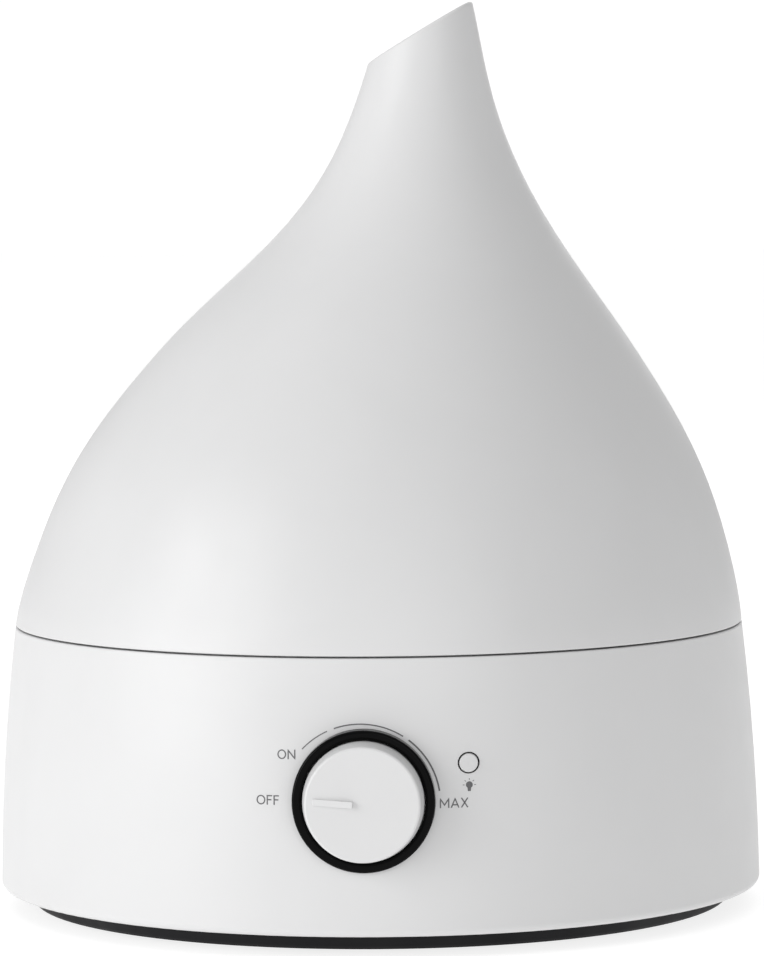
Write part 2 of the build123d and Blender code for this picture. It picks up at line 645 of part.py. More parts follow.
# ---- control panel ------------------------------------------------------------------------------
def knob_bezel():
    ring_body = rod(BEZEL_RADIUS, BEZEL_FRONT, BEZEL_BACK, 0, KNOB_HEIGHT)
    ring_body -= rod(BEZEL_BORE, -125, -90, 0, KNOB_HEIGHT)
    front = [e for e in ring_body.edges().filter_by(GeomType.CIRCLE) if e.center().Y < BEZEL_FRONT + 0.1]
    ring_body = fillet(front, 0.8)
    neck = rod(BEZEL_NECK, BEZEL_BACK - 0.5, -103.4, 0, KNOB_HEIGHT)
    return ring_body + (neck - rod(BEZEL_BORE, -125, -90, 0, KNOB_HEIGHT))


def control_knob():
    skirt = rod(KNOB_SKIRT_RADIUS, KNOB_SHOULDER, KNOB_BACK, 0, KNOB_HEIGHT)
    cap_height = KNOB_SHOULDER - KNOB_FACE
    cap = Pos(0, KNOB_SHOULDER, KNOB_HEIGHT) * Rot(90, 0, 0) * Cone(
        KNOB_SKIRT_RADIUS, KNOB_FACE_RADIUS, cap_height, align=UP)
    knob = skirt + cap
    face = [e for e in knob.edges().filter_by(GeomType.CIRCLE) if e.center().Y < KNOB_FACE + 0.1]
    knob = fillet(face, 0.7)
    knob -= rod(14.2, KNOB_FACE + 2.2, KNOB_BACK + 1, 0, KNOB_HEIGHT)
    boss = rod(5.0, KNOB_FACE + 2.0, KNOB_BACK + 1.5, 0, KNOB_HEIGHT)
    knob += boss - rod(SHAFT_RADIUS + 0.05, KNOB_FACE + 3.2, KNOB_BACK + 3, 0, KNOB_HEIGHT)
    return knob + pointer_rib()


def pointer_rib():
    """A wedge on the knob's face that rises towards the middle and points at the dial's marks."""
    inner, outer, half_width = 2.6, 13.4, 0.85
    low, high = KNOB_FACE + 0.3, KNOB_FACE - 1.3
    side = make_face(Polyline((inner, low), (outer, low), (outer, KNOB_FACE - 0.4), (inner, high), close=True))
    rib = extrude(side, half_width, both=True)
    rib = fillet(rib.edges().filter_by(Axis.Z), 0.22)
    return Pos(0, 0, KNOB_HEIGHT) * Rot(0, -POINTER_ANGLE, 0) * rib


def potentiometer_shaft():
    shaft = rod(SHAFT_RADIUS, KNOB_FACE + 3.5, BRACKET_BACK + 2.0, 0, KNOB_HEIGHT)
    return chamfer([e for e in shaft.edges() if e.center().Y < KNOB_FACE + 3.6], 0.5)


def potentiometer():
    body = block(-8.5, 8.5, BRACKET_BACK, BOARD_FRONT, KNOB_HEIGHT - 8.5, KNOB_HEIGHT + 8.5)
    body = fillet(body.edges().filter_by(Axis.Y), 1.5)
    body += rod(3.5, BRACKET_FRONT - 5.0, BRACKET_BACK, 0, KNOB_HEIGHT)
    body -= rod(SHAFT_RADIUS + 0.06, BRACKET_FRONT - 6.0, BRACKET_BACK + 2.2, 0, KNOB_HEIGHT)
    return body


def potentiometer_nut():
    nut = Pos(0, BRACKET_FRONT, KNOB_HEIGHT) * Rot(90, 0, 0) * extrude(RegularPolygon(5.8, 6), 2.2)
    return nut - rod(3.52, -100, -80, 0, KNOB_HEIGHT)


def control_bracket():
    plate = block(-24, 36, BRACKET_FRONT, BRACKET_BACK, 22, 58.5)
    for x in (-19, 8):
        plate += block(x, x + 11, BRACKET_FRONT, BRACKET_BACK, PLATE_TOP, 23)
        plate += block(x, x + 11, BRACKET_FRONT, BRACKET_BACK + 9, PLATE_TOP, PLATE_TOP + 2.5)
    for x, z in control_board_posts():
        plate += rod(2.6, BRACKET_BACK - 0.5, BOARD_FRONT, x, z)
    plate -= rod(3.6, -100, -80, 0, KNOB_HEIGHT)
    return plate - rod(BUTTON_HOLE, -100, -80, BUTTON_X, BUTTON_HEIGHT)


def control_board_posts():
    return [(-20.0, 28.0), (-20.0, 55.0), (18.0, 55.0), (32.0, 28.0)]


def control_board():
    board = block(-24, 36, BOARD_FRONT, BOARD_FRONT + BOARD_THICKNESS, 24, 58.5)
    return fillet(board.edges().filter_by(Axis.Y), 1.5)


def light_switch():
    low, high = BUTTON_HEIGHT - 3.0, BUTTON_HEIGHT + 3.0
    body = block(BUTTON_X - 3, BUTTON_X + 3, BOARD_FRONT - 3.5, BOARD_FRONT, low, high)
    body = chamfer(body.edges().filter_by(Axis.Y), 0.4)
    return body - rod(1.85, BOARD_FRONT - 4, BOARD_FRONT - 0.6, BUTTON_X, BUTTON_HEIGHT)


def switch_plunger():
    return rod(1.5, BOARD_FRONT - 5.0, BOARD_FRONT - 1.8, BUTTON_X, BUTTON_HEIGHT)


def light_button():
    cap = rod(BUTTON_RADIUS, -115, -98, BUTTON_X, BUTTON_HEIGHT) & (shell_band(BUTTON_PROUD, WALL + 6))
    rim = [e for e in cap.edges() if e.center().Y < -101.5 and e.length > 10]
    cap = fillet(rim, 0.35)
    return cap + rod(1.6, -101, BOARD_FRONT - 5.02, BUTTON_X, BUTTON_HEIGHT)


# ---- oil tray and inlet -------------------------------------------------------------------------
def tray_sleeve():
    outer = block(-23.4, 23.4, 65, 102, PANEL_LOW - 1.4, PANEL_HIGH + 1.4)
    sleeve = outer - block(-21.5, 21.5, 67, 103, TRAY_LOW - 0.4, PANEL_HIGH - 0.4)
    for i in range(-2, 3):
        sleeve -= block(i * 8 - 2, i * 8 + 2, 72, 96, PANEL_HIGH - 2, PANEL_HIGH + 3)
    return sleeve


def oil_tray():
    inside = TRAY_HALF_WIDTH - 1.8
    tray = block(-TRAY_HALF_WIDTH, TRAY_HALF_WIDTH, TRAY_FRONT, 110, TRAY_LOW, TRAY_HIGH) & disc(107.4, 20, 60)
    tray -= block(-inside, inside, TRAY_FRONT + 1.8, 102, TRAY_LOW + 1.8, TRAY_HIGH + 1)
    panel = block(-PANEL_HALF_WIDTH, PANEL_HALF_WIDTH, 95, 125, PANEL_LOW, PANEL_HIGH)
    tray += panel & shell_band(0, WALL)
    pull = block(-10, 10, 107.5, 112.5, PANEL_HIGH - 5.0, PANEL_HIGH - 2.2)
    return tray + fillet(pull.edges().filter_by(Axis.Z), 1.8)


def oil_pad():
    pad = block(-18.4, 18.4, 71.2, 100.0, TRAY_LOW + 1.85, TRAY_LOW + 6.8)
    return fillet(pad.edges().filter_by(Axis.Z), 3.0)


def inlet_bezel():
    low, high = INLET_HEIGHT - 8.6, INLET_HEIGHT + 8.6
    cup = block(-10.1, 10.1, 101, 106.6, low, high)
    cup -= block(-8.5, 8.5, 102.8, 110, low + 1.6, high - 1.6)
    cup -= rod(4.05, 95, 110, 0, INLET_HEIGHT)
    return Rot(0, 0, INLET_ANGLE) * cup


def power_inlet():
    body = block(-5.5, 5.5, 88.5, 101, INLET_HEIGHT - 5.5, INLET_HEIGHT + 5.5)
    body = chamfer(body.edges().filter_by(Axis.Y), 1.0)
    body += rod(4.0, 101, 104.2, 0, INLET_HEIGHT)
    body -= rod(INLET_BORE, 94.2, 110, 0, INLET_HEIGHT)
    body += rod(INLET_PIN_RADIUS, 94.0, 103.2, 0, INLET_HEIGHT)
    return Rot(0, 0, INLET_ANGLE) * body


# ---- every piece, by the name of its file -------------------------------------------------------
seal_low = CAP_FLOOR + VALVE_LIFT
PIECES = {
    "tank_shell": tank_shell,
    "tank_floor": tank_floor,
    "neck_tube": neck_tube,
    "mist_skirt": mist_skirt,
    "mist_chimney": mist_chimney,
    "fill_cap": fill_cap,
    "cap_gasket": lambda: ring(NECK_RADIUS + 0.8, NECK_BORE - 0.4, CAP_FLOOR, CAP_FLOOR + GASKET_HEIGHT, NECK_X),
    "valve_stem": valve_stem,
    "valve_seal": lambda: ring(SEAL_RADIUS, VALVE_STEM_RADIUS, seal_low, seal_low + SEAL_THICKNESS, NECK_X),
    "valve_spring": valve_spring,
    "base_shell": base_shell,
    "base_deck": base_deck,
    "mist_chamber": mist_chamber,
    "screw_pillars": screw_pillars,
    "bottom_plate": bottom_plate,
    "rubber_foot": rubber_foot,
    "base_screws": base_screws,
    "transducer_seat": transducer_seat,
    "transducer_disc": lambda: disc(TRANSDUCER_RADIUS, 56.6, 58.0, MIST_X),
    "transducer_gasket": transducer_gasket,
    "transducer_retainer": transducer_retainer,
    "retainer_screws": retainer_screws,
    "float_ring": float_ring,
    "float_stop": float_stop,
    "light_lens": light_lens,
    "light_board": light_board,
    "light_emitters": light_emitters,
    "fan_housing": fan_housing,
    "fan_rotor": fan_rotor,
    "air_duct": air_duct,
    "driver_board": driver_board,
    "board_screws": board_screws,
    "heat_sink": heat_sink,
    "power_transistor": power_transistor,
    "board_capacitors": board_capacitors,
    "board_coil": board_coil,
    "board_connectors": board_connectors,
    "internal_leads": internal_leads,
    "knob_bezel": knob_bezel,
    "control_knob": control_knob,
    "potentiometer": potentiometer,
    "potentiometer_shaft": potentiometer_shaft,
    "potentiometer_nut": potentiometer_nut,
    "control_bracket": control_bracket,
    "control_board": control_board,
    "light_switch": light_switch,
    "switch_plunger": switch_plunger,
    "light_button": light_button,
    "tray_sleeve": tray_sleeve,
    "oil_tray": oil_tray,
    "oil_pad": oil_pad,
    "inlet_bezel": inlet_bezel,
    "power_inlet": power_inlet,
}

os.makedirs("parts", exist_ok=True)
for name, make in PIECES.items():
    export_step(make(), f"parts/{name}.step")
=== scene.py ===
"""The diffuser's looks: finishes, the panel's printing, the felt oil pad, light and camera. In metres."""
import json
import math

import bmesh
import bpy
from mathutils import Matrix, Vector
from mathutils.bvhtree import BVHTree


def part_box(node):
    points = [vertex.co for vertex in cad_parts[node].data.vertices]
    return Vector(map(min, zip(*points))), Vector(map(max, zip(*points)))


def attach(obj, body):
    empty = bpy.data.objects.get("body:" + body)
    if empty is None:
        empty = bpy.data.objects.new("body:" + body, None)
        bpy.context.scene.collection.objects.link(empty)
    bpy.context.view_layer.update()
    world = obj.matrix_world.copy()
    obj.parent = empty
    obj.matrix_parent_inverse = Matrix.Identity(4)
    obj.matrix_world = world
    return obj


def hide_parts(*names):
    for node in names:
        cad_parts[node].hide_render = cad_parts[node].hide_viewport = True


MM = 0.001

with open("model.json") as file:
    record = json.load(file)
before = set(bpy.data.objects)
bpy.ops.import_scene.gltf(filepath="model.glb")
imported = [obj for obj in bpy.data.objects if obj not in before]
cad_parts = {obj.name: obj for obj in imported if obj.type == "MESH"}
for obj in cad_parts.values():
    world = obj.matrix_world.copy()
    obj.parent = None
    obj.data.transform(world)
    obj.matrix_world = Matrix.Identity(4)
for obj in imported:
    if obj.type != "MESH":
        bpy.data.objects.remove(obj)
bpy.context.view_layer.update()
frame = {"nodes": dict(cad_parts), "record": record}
nodes = frame["nodes"]


# ---- materials ----------------------------------------------------------------------------------
class Finish:
    """A procedural material, built up a layer at a time in the object's own coordinates."""

    def __init__(self, name, roughness=0.5, metallic=0.0, specular=0.5, ior=1.5):
        self.material = bpy.data.materials.new(name)
        self.material.use_nodes = True
        self.tree = self.material.node_tree
        self.shader = self.tree.nodes["Principled BSDF"]
        self.shader.inputs["Roughness"].default_value = roughness
        self.shader.inputs["Metallic"].default_value = metallic
        self.shader.inputs["Specular IOR Level"].default_value = specular
        self.shader.inputs["IOR"].default_value = ior
        self.place = self.tree.nodes.new("ShaderNodeTexCoord").outputs["Object"]
        self.normal = None

    def stretched(self, scale, turn=(0, 0, 0)):
        """The object's coordinates, scaled by a different amount along each axis."""
        node = self.tree.nodes.new("ShaderNodeMapping")
        node.inputs["Scale"].default_value = scale
        node.inputs["Rotation"].default_value = turn
        self.tree.links.new(self.place, node.inputs["Vector"])
        return node.outputs["Vector"]

    def noise(self, scale, detail=4.0, rough=0.55, place=None, distortion=0.0):
        node = self.tree.nodes.new("ShaderNodeTexNoise")
        node.inputs["Scale"].default_value = scale
        node.inputs["Detail"].default_value = detail
        node.inputs["Roughness"].default_value = rough
        node.inputs["Distortion"].default_value = distortion
        self.tree.links.new(place or self.place, node.inputs["Vector"])
        return node.outputs["Fac"]

    def cells(self, scale, place, feature):
        node = self.tree.nodes.new("ShaderNodeTexVoronoi")
        node.feature = feature
        node.inputs["Scale"].default_value = scale
        self.tree.links.new(place, node.inputs["Vector"])
        return node.outputs["Distance"]

    def waves(self, scale, bands):
        node = self.tree.nodes.new("ShaderNodeTexWave")
        node.bands_direction = bands
        node.inputs["Scale"].default_value = scale
        self.tree.links.new(self.place, node.inputs["Vector"])
        return node.outputs["Fac"]

    def spread(self, value, low, high, start=0.3, end=0.7):
        """value moved from the span start..end to low..high."""
        node = self.tree.nodes.new("ShaderNodeMapRange")
        for key, number in (("From Min", start), ("From Max", end), ("To Min", low), ("To Max", high)):
            node.inputs[key].default_value = number
        self.tree.links.new(value, node.inputs["Value"])
        return node.outputs["Result"]

    def colour(self, value, first, second, start=0.3, end=0.7):
        """Base colour that runs from first to second as value rises from start to end."""
        node = self.tree.nodes.new("ShaderNodeValToRGB")
        node.color_ramp.elements[0].position = start
        node.color_ramp.elements[0].color = (*first, 1)
        node.color_ramp.elements[1].position = end
        node.color_ramp.elements[1].color = (*second, 1)
        self.tree.links.new(value, node.inputs["Fac"])
        self.tree.links.new(node.outputs["Color"], self.shader.inputs["Base Color"])
        return self

    def gloss(self, value, low, high):
        """Roughness from low to high as value rises."""
        self.tree.links.new(self.spread(value, low, high), self.shader.inputs["Roughness"])
        return self

    def relief(self, value, depth, strength=1.0):
        """Bump of depth metres. Each call adds its own layer over the last."""
        node = self.tree.nodes.new("ShaderNodeBump")
        node.inputs["Strength"].default_value = strength
        node.inputs["Distance"].default_value = depth
        self.tree.links.new(value, node.inputs["Height"])
        if self.normal:
            self.tree.links.new(self.normal, node.inputs["Normal"])
        self.normal = node.outputs["Normal"]
        self.tree.links.new(self.normal, self.shader.inputs["Normal"])
        return self


def shade(colour, factor):
    """The colour made darker or lighter by factor."""
    return tuple(min(1.0, c * factor) for c in colour)


def moulded(name, colour, low, high, grain=1800, depth=0.000012, flow=0.985, specular=0.5):
    """Moulded plastic: faint flow marks in the colour, fine sparked texture, slow changes of gloss."""
    f = Finish(name, specular=specular)
    f.colour(f.noise(18, 5, 0.6, distortion=0.4), shade(colour, flow), shade(colour, 2 - flow))
    f.gloss(f.noise(60, 3), low, high)
    f.relief(f.noise(grain, 2, 0.5), depth, 0.6)
    f.relief(f.noise(45, 2), 0.00004, 0.25)
    return f.material


def metal(name, colour, low, high, along=(20, 900, 900)):
    """Metal with fine drawn or brushed lines."""
    f = Finish(name, metallic=1.0)
    lines = f.noise(1.0, 3, 0.6, place=f.stretched(along))
    f.colour(lines, shade(colour, 0.86), shade(colour, 1.06))
    f.gloss(lines, low, high)
    f.relief(lines, 0.00001, 0.5)
    return f.material


def soft(name, colour, low, high, grain=900):
    """Rubber or silicone: dull, with a fine bloom."""
    f = Finish(name, specular=0.35)
    f.colour(f.noise(140, 5, 0.65), shade(colour, 0.85), shade(colour, 1.18))
    f.gloss(f.noise(220, 4), low, high)
    f.relief(f.noise(grain, 3, 0.6), 0.00003, 0.5)
    return f.material


def laminate(name, colour):
    """Circuit board: lacquer over copper tracks, with the glass weave just showing."""
    track_turn = 0.785
    track_edge = (0.06, 0.11)
    f = Finish(name)
    tracks = f.cells(170, f.stretched((1, 1, 1), (0, 0, track_turn)), "DISTANCE_TO_EDGE")
    f.colour(tracks, shade(colour, 0.55), shade(colour, 1.15), *track_edge)
    f.gloss(f.noise(400, 3), 0.22, 0.38)
    f.relief(f.spread(tracks, 0, 1, *track_edge), 0.00004, 0.6)
    f.relief(f.waves(900, bands="DIAGONAL"), 0.00001, 0.3)
    return f.material


def felt(name, colour):
    """Pressed wool felt: fibres that lie every way, and fuzz that catches the light."""
    f = Finish(name, roughness=0.95, specular=0.2)
    f.shader.inputs["Sheen Weight"].default_value = 0.5
    f.shader.inputs["Sheen Roughness"].default_value = 0.5
    fibres = f.noise(1300, 6, 0.75, distortion=1.6)
    f.colour(fibres, shade(colour, 0.78), shade(colour, 1.08))
    f.relief(fibres, 0.00025, 0.8)
    f.relief(f.noise(120, 4), 0.0006, 0.4)
    return f.material


def frosted(name, colour, low, high, transmission):
    """Clear plastic with a frosted face."""
    f = Finish(name, ior=1.45)
    f.shader.inputs["Transmission Weight"].default_value = transmission
    f.colour(f.noise(25, 4), shade(colour, 0.97), shade(colour, 1.02))
    f.gloss(f.noise(300, 4), low, high)
    f.relief(f.noise(1400, 3), 0.00001, 0.5)
    return f.material


def printed(name, colour):
    """Pad-printed ink: slightly uneven cover."""
    f = Finish(name, specular=0.4)
    f.colour(f.noise(2200, 4, 0.7), shade(colour, 0.85), shade(colour, 1.2))
    f.gloss(f.noise(1500, 3), 0.42, 0.6)
    f.relief(f.noise(2600, 2), 0.000006, 0.5)
    return f.material


WHITE = (0.66, 0.66, 0.663)
SLOT_FINISH = {
    "shell_white": moulded("shell_white", WHITE, 0.36, 0.44, grain=2400, depth=0.00001),
    "knob_white": moulded("knob_white", (0.665, 0.665, 0.668), 0.32, 0.42, grain=3000, depth=0.000008),
    "inner_white": moulded("inner_white", (0.72, 0.73, 0.735), 0.28, 0.42, grain=1500),
    "chimney_clear": frosted("chimney_clear", (0.86, 0.9, 0.92), 0.25, 0.4, 0.55),
    "cap_grey": moulded("cap_grey", (0.34, 0.37, 0.40), 0.4, 0.55, grain=1400),
    "float_white": moulded("float_white", (0.83, 0.82, 0.78), 0.6, 0.75, grain=900, depth=0.00004),
    "base_black": moulded("base_black", (0.008, 0.008, 0.009), 0.5, 0.65, grain=1300, depth=0.00002,
                          flow=0.9, specular=0.12),
    "bezel_black": moulded("bezel_black", (0.002, 0.002, 0.0022), 0.12, 0.2, grain=5000, depth=0.000002,
                           flow=0.9, specular=0.07),
    "component_black": moulded("component_black", (0.02, 0.02, 0.021), 0.45, 0.6, grain=1600, flow=0.88),
    "foot_rubber": soft("foot_rubber", (0.018, 0.018, 0.018), 0.75, 0.9),
    "seal_rubber": soft("seal_rubber", (0.66, 0.65, 0.6), 0.5, 0.65),
    "steel": metal("steel", (0.62, 0.62, 0.61), 0.22, 0.4),
    "transducer_brass": metal("transducer_brass", (0.78, 0.70, 0.48), 0.18, 0.3, along=(300, 300, 300)),
    "board_green": laminate("board_green", (0.02, 0.17, 0.07)),
    "sink_aluminium": metal("sink_aluminium", (0.80, 0.80, 0.82), 0.25, 0.42, along=(900, 900, 25)),
    "coil_copper": metal("coil_copper", (0.72, 0.34, 0.16), 0.22, 0.35, along=(30, 30, 2600)),
    "socket_cream": moulded("socket_cream", (0.78, 0.74, 0.6), 0.35, 0.5),
    "lead_covering": soft("lead_covering", (0.42, 0.04, 0.03), 0.4, 0.5, grain=1600),
    "lens_frosted": frosted("lens_frosted", (0.93, 0.93, 0.9), 0.35, 0.5, 0.8),
    "emitter": moulded("emitter", (0.9, 0.78, 0.3), 0.2, 0.3, grain=2000),
    "pad_felt": felt("pad_felt", (0.78, 0.75, 0.66)),
}
PRINT = printed("panel_print", (0.12, 0.12, 0.125))

for entry in frame["record"]["subparts"]:
    node = nodes[entry["node"]]
    node.data.materials.clear()
    node.data.materials.append(SLOT_FINISH[entry["material_slot"]])


# ---- the panel's printing -----------------------------------------------------------------------
INK_RISE = 0.06 * MM  # the ink stands this far out of the shell, and reaches as far into it
WORD_HEIGHT, WORD_STROKE, WORD_GAP = 2.6 * MM, 0.32 * MM, 0.38 * MM
# each word's left end and middle, from the dial's centre
WORDS = (("OFF", -29.2 * MM, 0.0), ("ON", -23.4 * MM, 12.4 * MM), ("MAX", 20.5 * MM, -0.9 * MM))
# each capital's width for a height of 1
LETTER_WIDTH = {"O": 0.92, "F": 0.58, "N": 0.82, "M": 0.98, "A": 0.9, "X": 0.78}
SCALE_RADIUS, SCALE_SHIFT = 21.6 * MM, 0.9 * MM
SCALE_ARCS = ((136.8, 114.4, 0.28), (109.2, 57.5, 0.34), (52.7, 9, 0.42))  # from, to (degrees), width (mm)
LAMP_SIDEWAYS, LAMP_BELOW = 0.15 * MM, 5.95 * MM  # from the button's centre
BULB_RADIUS = 0.92 * MM
RAY_START, RAY_END, RAY_WIDTH = 1.3 * MM, 1.75 * MM, 0.16 * MM


def middle_of(name):
    """The x and z of the middle of a CAD node's box."""
    low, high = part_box(name)
    return (low.x + high.x) / 2, (low.z + high.z) / 2


dial_x, dial_z = middle_of("knob_bezel")
button_x, button_z = middle_of("light_button")
shell_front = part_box("base_shell")[0].y

surface = BVHTree.FromObject(nodes["base_shell"], bpy.context.evaluated_depsgraph_get())


def on_shell(x, z, lift):
    """The point of the base shell's front at x, z, raised by lift."""
    hit = surface.ray_cast(Vector((x, shell_front - 50 * MM, z)), Vector((0, 1, 0)))[0]
    outward = Vector((hit.x, hit.y, 0)).normalized()
    return hit + outward * lift


def ribbon(ink, line, width, closed=False):
    """A printed line of constant width along points in the panel's x, z plane, mitred at its corners."""
    count = len(line)
    edges = []
    for i, point in enumerate(line):
        before = line[i - 1] if i or closed else point
        after = line[(i + 1) % count] if i < count - 1 or closed else point
        a = (Vector(point) - Vector(before)).normalized() if point != before else None
        b = (Vector(after) - Vector(point)).normalized() if point != after else None
        a, b = a or b, b or a
        along = (a + b).normalized()
        half_turn_cosine = math.sqrt(max(0.0, (1 + a.dot(b)) / 2))
        reach = width / 2 / max(0.5, half_turn_cosine)
        side = Vector((-along.y, along.x)) * reach
        edges.append((Vector(point) + side, Vector(point) - side))
    rings = []
    for left, right in edges:
        rings.append([ink.verts.new(on_shell(p.x, p.y, lift)) for p, lift in (
            (left, -INK_RISE), (left, INK_RISE), (right, INK_RISE), (right, -INK_RISE))])
    pairs = list(zip(rings, rings[1:] + rings[:1])) if closed else list(zip(rings, rings[1:]))
    for first, second in pairs:
        for k in range(4):
            m = (k + 1) % 4
            ink.faces.new((first[k], first[m], second[m], second[k]))
    if not closed:
        ink.faces.new(rings[0][::-1])
        ink.faces.new(rings[-1])


def curve(x, z, rx, rz, start, end, steps):
    """Points of an ellipse's arc, from start to end degrees."""
    turn = [math.radians(start + (end - start) * i / steps) for i in range(steps + 1)]
    return [(x + rx * math.cos(t), z + rz * math.sin(t)) for t in turn]


def straight(*points, step=0.6 * MM):
    """Points along straight runs, close enough together to follow the shell's curve."""
    line = [points[0]]
    for (x0, z0), (x1, z1) in zip(points, points[1:]):
        parts = max(1, round(math.hypot(x1 - x0, z1 - z0) / step))
        line += [(x0 + (x1 - x0) * i / parts, z0 + (z1 - z0) * i / parts) for i in range(1, parts + 1)]
    return line


def letter(ink, kind, x, z, height, stroke):
    """One capital in a light, round sans, with its lower left corner at x, z. Returns its width."""
    h, s, w = height, stroke, LETTER_WIDTH[kind] * height
    left, right, foot, head = x + s / 2, x + w - s / 2, z + s / 2, z + h - s / 2
    if kind == "O":
        ring = curve(x + w / 2, z + h / 2, (w - s) / 2, (h - s) / 2, 0, 360, 36)[:-1]
        ribbon(ink, ring, s, closed=True)
    elif kind == "F":
        ribbon(ink, straight((x + w, head), (left, head), (left, z)), s)
        ribbon(ink, straight((x + s, z + 0.52 * h), (x + 0.88 * w, z + 0.52 * h)), s)
    elif kind == "N":
        ribbon(ink, straight((left, z), (left, head), (right, foot), (right, z + h)), s)
    elif kind == "M":
        ribbon(ink, straight((left, z), (left, head), (x + w / 2, z + 0.3 * h), (right, head), (right, z)), s)
    elif kind == "A":
        ribbon(ink, straight((left, z), (x + w / 2, head), (right, z)), s)
        ribbon(ink, straight((x + 0.22 * w, z + 0.3 * h), (x + 0.78 * w, z + 0.3 * h)), s)
    else:
        ribbon(ink, straight((left, z), (right, z + h)), s)
        ribbon(ink, straight((left, z + h), (right, z)), s)
    return w


def word(ink, text, left, middle):
    x = left
    for kind in text:
        x += letter(ink, kind, x, middle - WORD_HEIGHT / 2, WORD_HEIGHT, WORD_STROKE) + WORD_GAP


def filled(ink, outline):
    """A printed patch inside a convex outline."""
    top = [ink.verts.new(on_shell(x, z, INK_RISE)) for x, z in outline]
    low = [ink.verts.new(on_shell(x, z, -INK_RISE)) for x, z in outline]
    ink.faces.new(top)
    ink.faces.new(low[::-1])
    for i in range(len(outline)):
        j = (i + 1) % len(outline)
        ink.faces.new((top[i], low[i], low[j], top[j]))


def add_piece(name, mesh_builder, material, body, smooth=True):
    """A new mesh piece that rides on one of the CAD's bodies."""
    work = bmesh.new()
    mesh_builder(work)
    bmesh.ops.recalc_face_normals(work, faces=work.faces)
    mesh = bpy.data.meshes.new(name)
    work.to_mesh(mesh)
    work.free()
    piece = bpy.data.objects.new(name, mesh)
    bpy.context.scene.collection.objects.link(piece)
    mesh.materials.append(material)
    for face in mesh.polygons:
        face.use_smooth = smooth
    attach(piece, body)
    return piece


def scale_marks(ink):
    """Three arcs round the dial that grow thicker towards the strongest mist."""
    x, z = dial_x - SCALE_SHIFT, dial_z - SCALE_SHIFT
    for start, end, width in SCALE_ARCS:
        ribbon(ink, curve(x, z, SCALE_RADIUS, SCALE_RADIUS, start, end, 40), width * MM)


def panel_words(ink):
    for text, across, above in WORDS:
        word(ink, text, dial_x + across, dial_z + above)


def lamp_symbol(ink):
    """A small lamp with rays under the light button."""
    x, z = button_x + LAMP_SIDEWAYS, button_z - LAMP_BELOW
    filled(ink, curve(x, z, BULB_RADIUS, BULB_RADIUS, 0, 360, 24)[:-1])
    filled(ink, [(x - 0.5 * MM, z - 0.7 * MM), (x + 0.5 * MM, z - 0.7 * MM),
                 (x + 0.38 * MM, z - 1.7 * MM), (x - 0.38 * MM, z - 1.7 * MM)])
    for angle in (0, 45, 90, 135, 180):
        c, s = math.cos(math.radians(angle)), math.sin(math.radians(angle))
        ray = [(x + RAY_START * c, z + RAY_START * s), (x + RAY_END * c, z + RAY_END * s)]
        ribbon(ink, ray, RAY_WIDTH)


PRINTING = {"dial_scale": scale_marks, "panel_words": panel_words, "lamp_symbol": lamp_symbol}
for name, builder in PRINTING.items():
    add_piece(name, builder, PRINT, "base", smooth=False)


# ---- oil pad ------------------------------------------------------------------------------------
PAD_COLUMNS, PAD_ROWS = 48, 38
PAD_CORNER = 0.18  # how far the corners draw in
PAD_SPREAD, PAD_THICKNESS = 0.985, 0.93  # shares of the CAD pad's size that the felt fills
PAD_WAVE, PAD_DENT = 0.012, 0.06  # unevenness of the edge and of the top


def felt_pad(felted):
    """A pressed felt pad: crowned faces and soft, slightly uneven edges."""
    low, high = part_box("oil_pad")
    centre, half = (low + high) / 2, (high - low) / 2

    def point(u, v, side):
        # a rounded rectangle, with a wavy edge and a crown that falls away near it
        squeeze = 1 - PAD_CORNER * (abs(u) * abs(v)) ** 3
        edge = max(abs(u), abs(v))
        wave = PAD_WAVE * math.sin(7 * math.atan2(v, u)) * edge ** 4
        fall = (1 - edge ** 8) ** 0.5
        x = centre.x + half.x * u * squeeze * (PAD_SPREAD - wave)
        y = centre.y + half.y * v * squeeze * (PAD_SPREAD - wave)
        dent = PAD_DENT * math.sin(9 * u + 1.3) * math.cos(7 * v)
        z = centre.z + side * half.z * fall * (PAD_THICKNESS + (dent if side > 0 else 0))
        return Vector((x, y, z))

    sheets = {}
    for side in (1, -1):
        for i in range(PAD_COLUMNS + 1):
            for j in range(PAD_ROWS + 1):
                u, v = 2 * i / PAD_COLUMNS - 1, 2 * j / PAD_ROWS - 1
                rim = i in (0, PAD_COLUMNS) or j in (0, PAD_ROWS)
                if rim and side < 0:
                    sheets[side, i, j] = sheets[1, i, j]
                else:
                    sheets[side, i, j] = felted.verts.new(point(u, v, side))
        for i in range(PAD_COLUMNS):
            for j in range(PAD_ROWS):
                loop = [sheets[side, i, j], sheets[side, i + 1, j],
                        sheets[side, i + 1, j + 1], sheets[side, i, j + 1]]
                felted.faces.new(loop if side > 0 else loop[::-1])


pad = add_piece("felt_pad", felt_pad, SLOT_FINISH["pad_felt"], "tray")
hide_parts("oil_pad")


# ---- room, light and camera ---------------------------------------------------------------------
FLOOR_RADIUS, FLOOR_DROP, FLOOR_GLOW = 9.0, 0.0002, 0.82
ROOM_AS_LIGHT, ROOM_AS_SEEN = 0.50, 1.05
# name, place, the point it faces, width and height, watts
SOFTBOXES = (
    ("key_left", (-1.5, -1.0, 0.5), (0, 0, 0.12), (1.2, 1.5), 21),
    ("front_fill", (0.45, -2.1, 0.5), (0, 0, 0.1), (0.9, 1.3), 4.5),
    ("top", (-0.2, 0.2, 1.9), (0, 0, 0), (2.0, 2.0), 6),
    ("back_fill", (0.1, 2.1, 0.9), (0, 0, 0.1), (1.4, 1.4), 6),
)


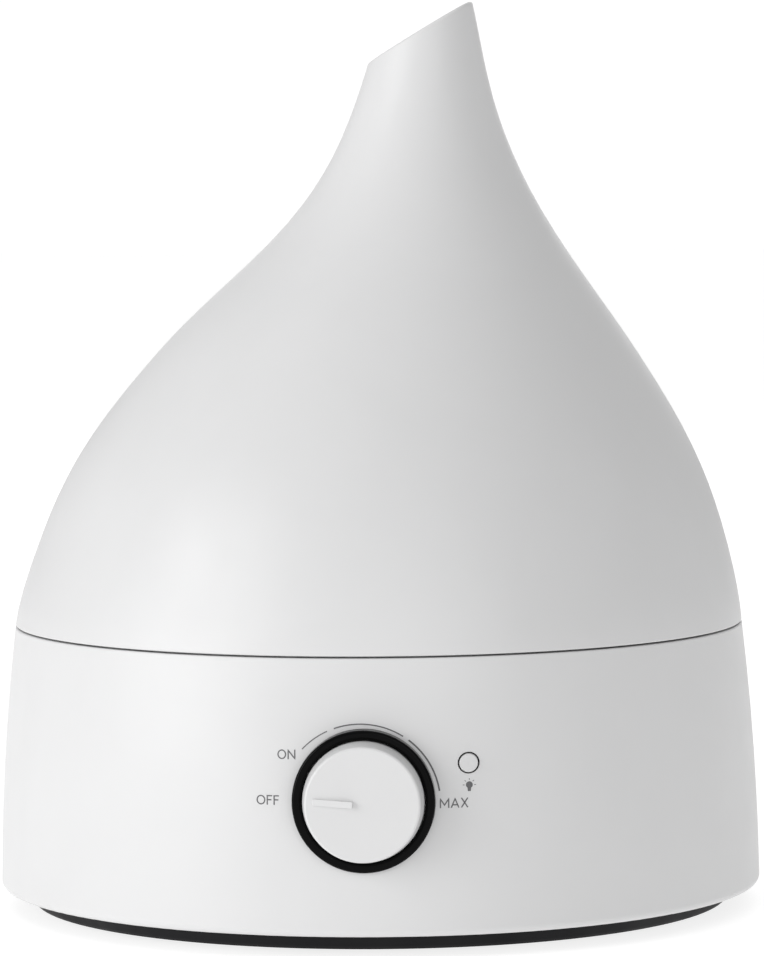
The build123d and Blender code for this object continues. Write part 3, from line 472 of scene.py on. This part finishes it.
def stage_floor():
    """A pale floor that glows a little, like a lit photographic table."""
    bpy.ops.mesh.primitive_circle_add(vertices=96, radius=FLOOR_RADIUS, fill_type="NGON",
                                      location=(0, 0, -FLOOR_DROP))
    floor = bpy.context.object
    floor.name = "floor"
    f = Finish("floor_paper", roughness=0.9, specular=0.1)
    f.colour(f.noise(3, 3), (0.33, 0.33, 0.33), (0.36, 0.36, 0.36))
    f.shader.inputs["Emission Color"].default_value = (1, 1, 1, 1)
    f.shader.inputs["Emission Strength"].default_value = FLOOR_GLOW
    floor.data.materials.append(f.material)


def studio_world():
    """A plain white room: full white where it is seen, dimmer as a light on the object."""
    world = bpy.data.worlds.new("studio")
    bpy.context.scene.world = world
    world.use_nodes = True
    tree = world.node_tree
    strength = tree.nodes.new("ShaderNodeMapRange")
    strength.inputs["To Min"].default_value = ROOM_AS_LIGHT
    strength.inputs["To Max"].default_value = ROOM_AS_SEEN
    tree.links.new(tree.nodes.new("ShaderNodeLightPath").outputs["Is Camera Ray"], strength.inputs["Value"])
    tree.links.new(strength.outputs["Result"], tree.nodes["Background"].inputs["Strength"])
    tree.nodes["Background"].inputs["Color"].default_value = (1, 1, 1, 1)


def softbox(name, place, aim, size, power):
    light = bpy.data.lights.new(name, "AREA")
    light.shape = "RECTANGLE"
    light.size, light.size_y = size
    light.energy = power
    lamp = bpy.data.objects.new(name, light)
    lamp.location = place
    lamp.rotation_euler = (Vector(aim) - Vector(place)).to_track_quat("-Z", "Y").to_euler()
    bpy.context.scene.collection.objects.link(lamp)


stage_floor()
studio_world()
for settings in SOFTBOXES:
    softbox(*settings)

bpy.context.scene.view_settings.view_transform = "Standard"
bpy.context.scene.view_settings.look = "None"

# where the camera stands round the object, how it is turned (radians), and its lens (mm)
AZIMUTH = math.radians(2.34)
DISTANCE, HEIGHT = 1.430, 0.2195
PITCH, YAW, ROLL = 0.0673, 0.0009, -0.0079
LENS, SENSOR_WIDTH = 185.59, 36.0

camera_data = bpy.data.cameras.new("camera")
camera_data.lens = LENS
camera_data.sensor_width = SENSOR_WIDTH
camera_data.clip_end = 50
camera = bpy.data.objects.new("camera", camera_data)
bpy.context.scene.collection.objects.link(camera)
bpy.context.scene.camera = camera
forward = Vector((math.sin(YAW) * math.cos(PITCH), math.cos(YAW) * math.cos(PITCH), -math.sin(PITCH)))
forward.rotate(Matrix.Rotation(AZIMUTH, 3, "Z"))
right = forward.cross(Vector((0, 0, 1))).normalized()
up = right.cross(forward)
level_right = right * math.cos(ROLL) + up * math.sin(ROLL)
level_up = up * math.cos(ROLL) - right * math.sin(ROLL)
pose = Matrix((level_right, level_up, -forward)).transposed().to_4x4()
pose.translation = Vector((DISTANCE * math.sin(AZIMUTH), -DISTANCE * math.cos(AZIMUTH), HEIGHT))
camera.matrix_world = pose
